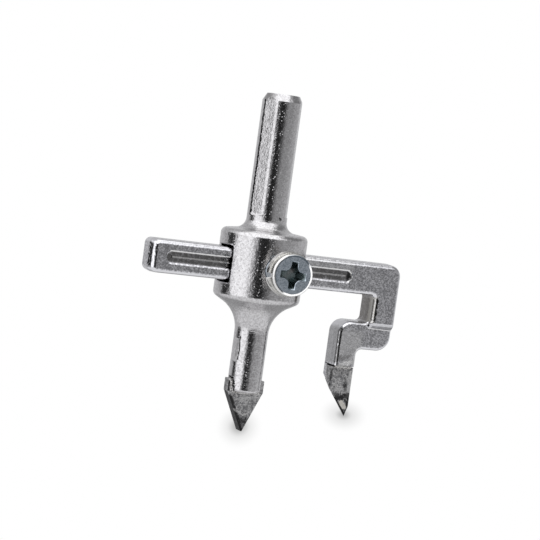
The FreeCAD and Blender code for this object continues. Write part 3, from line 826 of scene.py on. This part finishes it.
class Studio:
    """The camera, the light and the ground."""

    CAMERA_AT = Vector((-165.4, -390.92, -17.05)) * MM
    RIGHT = Vector((0.9134, -0.3838, 0.1357))
    UP = Vector((-0.1010, 0.1092, 0.9888))
    BACK = Vector((-0.3943, -0.9169, 0.0610))
    LENS = 115.11
    SENSOR = 36.0
    NEAREST = 10 * MM
    FARTHEST = 50_000 * MM

    BIT_POINT = Vector((0.2, 0.0, -83.4)) * MM
    TIP_POINT = Vector((27.8, -1.1, -77.8)) * MM
    FLOOR_REACH = (3000 * MM, 3000 * MM)
    FLOOR_COLOUR = (0.8, 0.8, 0.8, 1.0)
    SHADE_REACH = (9.5 * MM, 21.0 * MM)
    SHADE_LIFT = 0.02
    SHADES = (
        Shade("shade under the bit", BIT_POINT, Body.HOLDER, 2.6, 0.73, ((6.2, 0.28), (3.1, 0.31))),
        Shade("shade under the tip", TIP_POINT, Body.ARM, 1.1, 0.58, ((6.6, 0.27), (2.4, 0.27))),
    )

    LAMP_AT = Vector((-0.15, -0.2, 0.75))
    LAMP_AIM = Vector((0.0, 0.0, -0.04))
    LAMP_WIDTH = 0.5
    LAMP_WATTS = 6.0

    # Angles from the camera's direction, positive to its right, each with a brightness
    LEVEL = ((-180, 0.62), (-150, 0.58), (-134, 0.52), (-110, 0.43), (-105, 0.03), (-81, 0.03), (-71, 1.13),
             (-31, 1.13), (-20, 0.55), (-10, 0.03), (-2, 0.012), (18, 0.02), (41, 0.29), (70, 0.305),
             (95, 0.40), (180, 0.62))
    LOW = ((-180, 0.62), (-134, 0.54), (-110, 0.46), (-104, 0.06), (-79, 0.05), (-69, 1.13), (-31, 1.13),
           (-20, 0.55), (-10, 0.04), (-2, 0.015), (15, 0.04), (40, 0.41), (70, 0.47), (95, 0.52), (180, 0.62))
    HIGH = ((-180, 0.50), (-130, 0.46), (-104, 0.60), (-72, 1.30), (48, 1.30), (74, 0.36), (92, 0.22),
            (125, 0.24), (150, 0.48), (180, 0.50))
    GROUND = ((-180, 0.28), (-140, 0.45), (-100, 0.72), (100, 0.72), (140, 0.40), (180, 0.28))
    OVERHEAD = (1.28, 1.28, 1.29)
    UNDERFOOT = (0.70, 0.70, 0.71)
    BLUE_TINGE = 1.02

    def camera(self) -> None:
        """Places the camera at the photograph's viewpoint."""
        data = bpy.data.cameras.new("camera")
        data.lens, data.sensor_width = self.LENS, self.SENSOR
        data.clip_start, data.clip_end = self.NEAREST, self.FARTHEST
        made = add_object("camera", data)
        turned = Matrix((self.RIGHT, self.UP, self.BACK)).transposed().to_4x4()
        made.matrix_world = Matrix.Translation(self.CAMERA_AT) @ turned
        bpy.context.scene.camera = made

    def lamp(self) -> None:
        """Adds a soft square lamp overhead that isn't seen in the metal."""
        data = bpy.data.lights.new("overhead", "AREA")
        data.size, data.energy = self.LAMP_WIDTH, self.LAMP_WATTS
        made = add_object("overhead", data)
        turned = (self.LAMP_AIM - self.LAMP_AT).to_track_quat("-Z", "Y").to_matrix().to_4x4()
        made.matrix_world = Matrix.Translation(self.LAMP_AT) @ turned
        made.visible_glossy = False

    def panels(self, graph: Graph, turn: Socket, stops: Sequence[tuple[float, float]]) -> Socket:
        """Makes a ring of studio panels and dark gaps, by direction round the part.

        Args:
            graph: The world's graph.
            turn: Direction round the part, as a share of a full turn.
            stops: Angles from the camera's direction, each with a brightness.

        Returns:
            The colour.
        """
        made = graph.node("ShaderNodeValToRGB", {"Fac": turn})
        elements = made.color_ramp.elements
        while len(elements) < len(stops):
            elements.new(1.0)
        for element, (angle, level) in zip(elements, stops):
            element.position = angle / 360 + 0.5
            element.color = (level, level, level * self.BLUE_TINGE, 1.0)
        return made.outputs["Color"]

    def world(self) -> None:
        """Builds the studio's surroundings: soft panels and dark gaps by direction, white behind the part."""
        world = bpy.data.worlds.new("studio")
        world.use_nodes = True
        bpy.context.scene.world = world
        graph = Graph(world.node_tree)
        graph.tree.nodes.clear()
        ahead = Vector((self.BACK.x, self.BACK.y, 0.0)).normalized()
        side = Vector((-ahead.y, ahead.x, 0.0))
        towards = graph.vector_maths("NORMALIZE", graph.node("ShaderNodeTexCoord").outputs["Generated"])
        across, forward, rise = (graph.measure("DOT_PRODUCT", towards, tuple(axis))
                                 for axis in (side, ahead, (0.0, 0.0, 1.0)))
        turn = graph.maths("DIVIDE", graph.maths("ARCTAN2", across, forward), 2 * math.pi)
        turn = graph.maths("ADD", turn, 0.5)
        colour, level, high, ground = (self.panels(graph, turn, stops)
                                       for stops in (self.LOW, self.LEVEL, self.HIGH, self.GROUND))
        # Each ring takes over between two heights above the horizon, in degrees
        for start, end, ring in ((-9, -3, level), (9, 25, high), (58, 72, self.OVERHEAD), (-12, -24, ground),
                                 (-58, -74, self.UNDERFOOT)):
            share = graph.band(rise, math.sin(math.radians(start)), math.sin(math.radians(end)))
            colour = graph.mix(share, colour, ring)
        lit = graph.node("ShaderNodeBackground", {"Color": colour, "Strength": 1.0})
        plain = graph.node("ShaderNodeBackground", {"Color": (1.0, 1.0, 1.0, 1.0), "Strength": 1.0})
        seen = graph.node("ShaderNodeLightPath").outputs["Is Camera Ray"]
        shown = graph.node("ShaderNodeMixShader", {0: seen, 1: lit.outputs[0], 2: plain.outputs[0]})
        graph.node("ShaderNodeOutputWorld", {"Surface": shown.outputs[0]})

    def away(self) -> Vector:
        """Finds the direction that leads away from the camera on the ground.

        Returns:
            The direction, with length 1.
        """
        step = self.TIP_POINT - self.BIT_POINT
        lean = math.atan(self.UP.dot(step) / -self.BACK.dot(step))
        return self.UP * math.sin(lean) - self.BACK * math.cos(lean)

    def sheet(self, name: str, point: Vector,
              reach: tuple[float, float]) -> tuple[bpy.types.Object, Graph, Socket]:
        """Lays a sheet on the ground that the tool stands on in the picture, clear when seen from below.

        Args:
            name: The name of the sheet and of its material.
            point: The point of the tool that the sheet's middle is at, in metres.
            reach: Half its size in metres, along the line between the tool's two points and across it.

        Returns:
            The sheet, its material's graph, and the input there for the shader of its upper side.
        """
        step = self.TIP_POINT - self.BIT_POINT
        normal = self.UP.cross(self.BACK).cross(self.away()).normalized()
        along = (step - normal * step.dot(normal)).normalized()
        across = normal.cross(along)
        corners = [point + along * a * reach[0] + across * b * reach[1]
                   for a, b in ((-1, -1), (1, -1), (1, 1), (-1, 1))]
        mesh = bpy.data.meshes.new(name)
        mesh.from_pydata([tuple(corner) for corner in corners], [], [(0, 1, 2, 3)])
        made = add_object(name, mesh)
        made.visible_glossy = False
        material = bpy.data.materials.new(name)
        material.use_nodes = True
        graph = Graph(material.node_tree)
        graph.tree.nodes.clear()
        clear = graph.node("ShaderNodeBsdfTransparent")
        behind = graph.node("ShaderNodeNewGeometry").outputs["Backfacing"]
        surface = graph.node("ShaderNodeMixShader", {0: behind, 2: clear.outputs[0]})
        graph.node("ShaderNodeOutputMaterial", {"Surface": surface.outputs[0]})
        mesh.materials.append(material)
        return made, graph, surface.inputs[1]

    def floor(self) -> None:
        """Lays the pale floor that throws light up at the tool; the camera sees the white ground instead."""
        made, graph, upper = self.sheet("pale floor", self.BIT_POINT, self.FLOOR_REACH)
        graph.feed(upper, graph.node("ShaderNodeBsdfDiffuse", {"Color": self.FLOOR_COLOUR}).outputs[0])
        made.visible_camera = False

    def contact_shade(self, shade: Shade) -> None:
        """Dims the white ground round one point that the tool stands on; the shade goes along with the point.

        Args:
            shade: The shade's place and sizes.
        """
        lifted = shade.point + self.UP * self.SHADE_LIFT * MM
        made, graph, upper = self.sheet(shade.name, lifted, self.SHADE_REACH)
        place = graph.node("ShaderNodeTexCoord").outputs["Object"]
        rest = graph.vector_maths("SUBTRACT", place, tuple(shade.point + self.away() * shade.beyond * MM))
        depth = graph.measure("DOT_PRODUCT", rest, tuple(self.BACK))
        distance = graph.measure("DISTANCE", rest, graph.scaled(tuple(self.BACK * shade.stretch), depth))
        light: Any = 1.0
        for radius, amount in shade.rings:
            light = graph.maths("SUBTRACT", light, graph.band(distance, 0.0, radius * MM, amount, 0.0))
        graph.feed(upper, graph.node("ShaderNodeBsdfTransparent", {"Color": light}).outputs[0])
        made.visible_diffuse = made.visible_shadow = made.visible_transmission = False
        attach(made, shade.body.value)

    def build(self) -> None:
        """Sets up the whole studio."""
        bpy.context.scene.view_settings.view_transform = "Standard"
        self.camera()
        self.world()
        self.floor()
        for shade in self.SHADES:
            self.contact_shade(shade)
        self.lamp()


class PieceTree(GroupGraph):
    """A Geometry Nodes tree with named inputs that becomes one finished piece."""

    def __init__(self, name: str, sizes: dict[str, float]) -> None:
        """Starts the tree with its inputs.

        Args:
            name: The tree's name.
            sizes: The named sizes, in metres or plain numbers.
        """
        super().__init__(name, "Geometry", {"Geometry": "Geometry", **dict.fromkeys(sizes, "Float"),
                                            "Material": "Material"}, {"Geometry": "Geometry"})
        self.sizes = sizes

    def close(self, shape: Socket) -> None:
        """Ends the tree: smooth faces, real instances and the finish.

        Args:
            shape: The geometry to put out.
        """
        smooth = self.node("GeometryNodeSetShadeSmooth", {"Geometry": shape})
        real = self.node("GeometryNodeRealizeInstances", {"Geometry": smooth.outputs[0]})
        dressed = self.node("GeometryNodeSetMaterial", {"Geometry": real.outputs[0],
                                                        "Material": self.given["Material"]})
        self.node("NodeGroupOutput", {"Geometry": dressed.outputs[0]})

    def grow(self, data: bpy.types.ID, material: bpy.types.Material) -> bpy.types.Mesh:
        """Runs the tree on a shape and takes the result as a plain mesh.

        Args:
            data: The mesh or curve that the tree works on.
            material: The finish.

        Returns:
            The mesh.
        """
        start = add_object("start", data)
        modifier = start.modifiers.new("tree", "NODES")
        modifier.node_group = self.tree
        values = {**self.sizes, "Material": material}
        for socket in self.tree.interface.items_tree:
            if socket.in_out == "INPUT" and socket.name in values:
                modifier[socket.identifier] = values[socket.name]
        graph = bpy.context.evaluated_depsgraph_get()
        mesh = bpy.data.meshes.new_from_object(start.evaluated_get(graph), depsgraph=graph)
        bpy.data.objects.remove(start)
        return mesh


def add_piece(name: str, whole: bmesh.types.BMesh, material: bpy.types.Material, body: Body) -> bpy.types.Object:
    """Turns a shape into a finished piece that rides on a body.

    Args:
        name: The piece's name.
        whole: Its shape, in the part's frame; it is freed.
        material: Its finish.
        body: The body it rides on.

    Returns:
        The piece.
    """
    mesh = bpy.data.meshes.new(name)
    whole.to_mesh(mesh)
    whole.free()
    mesh.materials.append(material)
    piece = add_object(name, mesh)
    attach(piece, body.value)
    LOG.info("%s rides on %s with %d faces", name, body.value, len(mesh.polygons))
    return piece


@dataclass
class ThreadedScrew:
    """The clamp screw with its real thread, in place of the plain one.

    The neck's end and the tip are places along Y, the flank starts and ends at shares of half a pitch, edges
    sharper than the angle in degrees stay sharp, and a face that looks forward more squarely than flat_front
    stays flat.
    """

    neck_end: float = -17.45
    tip: float = -3.95
    axis_height: float = -42.4
    pitch: float = 1.0
    crest_radius: float = 2.98
    root_radius: float = 2.42
    tip_radius: float = 2.25
    overlap: float = 0.25
    flank: tuple[float, float] = (0.12, 0.88)
    steps_per_turn: int = 14
    sides: int = 56
    sharp_angle: float = 38.0
    flat_front: float = 0.9995

    def head(self) -> bmesh.types.BMesh:
        """Copies the head and the plain neck under it, and closes the cut.

        Returns:
            The closed head.
        """
        head = bmesh.new()
        head.from_mesh(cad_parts["clamp_screw"].data)
        bmesh.ops.remove_doubles(head, verts=head.verts[:], dist=1e-6)
        whole = head.verts[:] + head.edges[:] + head.faces[:]
        cut = bmesh.ops.bisect_plane(head, geom=whole, plane_co=(0.0, self.neck_end * MM, 0.0),
                                     plane_no=(0.0, 1.0, 0.0), clear_outer=True, dist=1e-7)
        rim = [edge for edge in cut["geom_cut"] if isinstance(edge, bmesh.types.BMEdge)]
        bmesh.ops.contextual_create(head, geom=rim)
        bmesh.ops.triangulate(head, faces=head.faces[:])
        bmesh.ops.recalc_face_normals(head, faces=head.faces[:])
        return head

    def thread(self, material: bpy.types.Material) -> bpy.types.Mesh:
        """Grows the thread from a plain cylinder whose surface follows the helix.

        Args:
            material: The screw's finish.

        Returns:
            The closed thread, in the part's frame.
        """
        length = self.tip - self.neck_end + self.overlap
        tree = PieceTree("screw thread", {
            "Pitch": self.pitch * MM, "Crest Radius": self.crest_radius * MM,
            "Root Radius": self.root_radius * MM, "Tip Radius": self.tip_radius * MM, "Length": length * MM})
        given = tree.given
        steps = int(length / self.pitch * self.steps_per_turn)
        tube = tree.node("GeometryNodeMeshCylinder", {
            "Vertices": self.sides, "Side Segments": steps, "Radius": given["Crest Radius"],
            "Depth": given["Length"]})
        place = tree.node("GeometryNodeInputPosition").outputs[0]
        split = tree.node("ShaderNodeSeparateXYZ", {0: place}).outputs
        turn = tree.maths("DIVIDE", tree.maths("ARCTAN2", split[1], split[0]), 2 * math.pi)
        turns = tree.maths("DIVIDE", split[2], given["Pitch"])
        wave = tree.maths("FRACT", tree.maths("SUBTRACT", turns, turn))
        ridge = tree.maths("MULTIPLY", tree.maths("ABSOLUTE", tree.maths("SUBTRACT", wave, 0.5)), 2.0)
        flank = tree.node("ShaderNodeMapRange", {
            "Value": ridge, "From Min": self.flank[0], "From Max": self.flank[1],
            "To Min": given["Crest Radius"], "To Max": given["Root Radius"]})
        end = tree.maths("MULTIPLY", given["Length"], 0.5)
        chamfer = tree.maths("ADD", tree.maths("SUBTRACT", end, split[2]), given["Tip Radius"])
        radius = tree.maths("MINIMUM", flank.outputs["Result"], chamfer)
        scale = tree.maths("DIVIDE", radius, given["Crest Radius"])
        flat = tree.node("ShaderNodeCombineXYZ", {0: scale, 1: scale, 2: 1.0}).outputs[0]
        moved = tree.node("GeometryNodeSetPosition", {"Geometry": tube.outputs["Mesh"],
                                                      "Position": tree.vector_maths("MULTIPLY", place, flat)})
        tree.close(moved.outputs[0])
        mesh = tree.grow(bpy.data.meshes.new("thread start"), material)
        middle = (self.tip + self.neck_end - self.overlap) / 2
        mesh.transform(Matrix.Translation(Vector((0.0, middle, self.axis_height)) * MM)
                       @ Matrix.Rotation(math.radians(-90), 4, "X"))
        return mesh

    def build(self, material: bpy.types.Material) -> None:
        """Joins head and thread into the screw that shows.

        Args:
            material: The screw's finish.
        """
        whole = self.head()
        whole.from_mesh(self.thread(material))
        screw = add_piece("threaded_screw", whole, material, Body.SCREW)
        screw.data.set_sharp_from_angle(angle=math.radians(self.sharp_angle))
        for face in screw.data.polygons:
            face.use_smooth = face.normal.y > -self.flat_front
        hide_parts("clamp_screw")


@dataclass
class BrazeBeads:
    """Runs of braze that have crept out of the joints, laid along their paths.

    The sill and the cheek are at the centre bit's slot; the seam, the blob and the back seam are at the
    cutting tip's seat. The wobble is a share of a bead's radius, and the swing scales the noise to it.
    """

    wobble: float = 0.28
    swing: float = 4.0
    lump: float = 0.55
    step: float = 0.09
    sides: int = 12
    seed_step: float = 3.7
    sill: tuple[Place, ...] = ((-3.7, -1.5, -73.62), (-2.0, -1.62, -73.75), (0.0, -1.7, -73.85),
                               (2.0, -1.62, -73.75), (3.7, -1.5, -73.62))
    cheek: tuple[Place, ...] = ((-4.55, -1.2, -70.70), (-4.25, -1.4, -70.95), (-4.02, -1.52, -71.6),
                                (-4.0, -1.55, -72.6), (-3.95, -1.55, -73.55))
    seam: tuple[Place, ...] = ((23.5, -1.35, -65.1), (25.0, -1.4, -65.16), (26.6, -1.35, -65.1),
                               (27.9, -1.3, -65.12))
    blob: tuple[Place, ...] = ((22.95, -1.9, -64.98), (23.6, -2.0, -65.02), (24.0, -1.8, -65.1))
    back_seam: tuple[Place, ...] = ((22.9, 1.85, -67.4), (24.5, 1.85, -67.6), (26.5, 1.85, -67.6),
                                    (28.0, 1.85, -67.4))

    def bead(self, path: Sequence[Place], radius: float, seed: float,
             material: bpy.types.Material) -> bpy.types.Mesh:
        """Lays one uneven bead along a path.

        Args:
            path: Its points.
            radius: Its mean radius.
            seed: Picks its lumps.
            material: Its finish.

        Returns:
            The closed bead.
        """
        tree = PieceTree("braze bead", {"Radius": radius * MM, "Wobble": self.wobble * radius * MM,
                                        "Lump Size": self.lump * MM, "Step": self.step * MM, "Seed": seed})
        given = tree.given
        along = tree.node("GeometryNodeResampleCurve", {"Curve": given["Geometry"], "Length": given["Step"]},
                          mode="LENGTH")
        ring = tree.node("GeometryNodeCurvePrimitiveCircle",
                         {"Resolution": self.sides, "Radius": given["Radius"]}, mode="RADIUS")
        tube = tree.node("GeometryNodeCurveToMesh", {
            "Curve": along.outputs[0], "Profile Curve": ring.outputs[0], "Fill Caps": True})
        place = tree.node("GeometryNodeInputPosition").outputs[0]
        lumps = tree.node("ShaderNodeTexNoise", {"Vector": place, "W": given["Seed"], "Detail": 1.0,
                                                 "Scale": tree.maths("DIVIDE", 1.0, given["Lump Size"])},
                          noise_dimensions="4D")
        swing = tree.maths("MULTIPLY", tree.maths("SUBTRACT", lumps.outputs["Fac"], 0.5),
                           tree.maths("MULTIPLY", given["Wobble"], self.swing))
        normal = tree.node("GeometryNodeInputNormal").outputs[0]
        moved = tree.node("GeometryNodeSetPosition", {"Geometry": tube.outputs[0],
                                                      "Offset": tree.scaled(normal, swing)})
        tree.close(moved.outputs[0])
        curve = bpy.data.curves.new("bead path", "CURVE")
        curve.dimensions = "3D"
        spline = curve.splines.new("POLY")
        spline.points.add(len(path) - 1)
        for point, spot in zip(spline.points, path):
            point.co = (*metres(spot), 1.0)
        return tree.grow(curve, material)

    def gather(self, name: str, beads: Sequence[tuple[Sequence[Place], float]], body: Body,
               material: bpy.types.Material) -> None:
        """Makes one piece of several beads on the same body.

        Args:
            name: The piece's name.
            beads: Path and radius of each.
            body: The body that they ride on.
            material: Their finish.
        """
        whole = bmesh.new()
        for index, (path, radius) in enumerate(beads):
            whole.from_mesh(self.bead(path, radius, self.seed_step * index + len(name), material))
        bmesh.ops.recalc_face_normals(whole, faces=whole.faces[:])
        for face in whole.faces:
            face.smooth = True
        add_piece(name, whole, material, body)

    def build(self, material: bpy.types.Material) -> None:
        """Lays the beads at the centre bit, on both sides of it, and at the cutting tip.

        Args:
            material: The braze.
        """
        back_sill, back_cheek = ([(-x, -y, z) for x, y, z in path] for path in (self.sill, self.cheek))
        self.gather("bit_braze_beads", ((self.sill, 0.30), (self.cheek, 0.24), (back_sill, 0.26),
                                        (back_cheek, 0.24)), Body.HOLDER, material)
        self.gather("tip_braze_beads", ((self.seam, 0.26), (self.blob, 0.24), (self.back_seam, 0.12)),
                    Body.ARM, material)


def dress(node: str, material: bpy.types.Material) -> None:
    """Gives a node of the frame its finish.

    Args:
        node: The node's name.
        material: The finish.
    """
    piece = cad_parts[node]
    if not piece.material_slots:
        piece.data.materials.append(material)
    for slot in piece.material_slots:
        slot.material = material
    LOG.info("%s wears %s", node, material.name)


def main() -> None:
    """Builds the looks in order and reports each piece."""
    logging.basicConfig(level=logging.INFO, format="%(name)s: %(message)s")
    Studio().build()
    finishes = Finishes()
    for node, material in (("body", finishes.body), ("centre_bit", finishes.bit),
                           ("bit_braze", finishes.braze), ("arm", finishes.arm),
                           ("cutting_tip", finishes.tip), ("tip_braze", finishes.braze),
                           ("clamp_screw", finishes.screw), ("lock_washer", finishes.washer)):
        dress(node, material)
    ThreadedScrew().build(finishes.screw)
    BrazeBeads().build(finishes.braze)


if __name__ == "__main__":
    main()
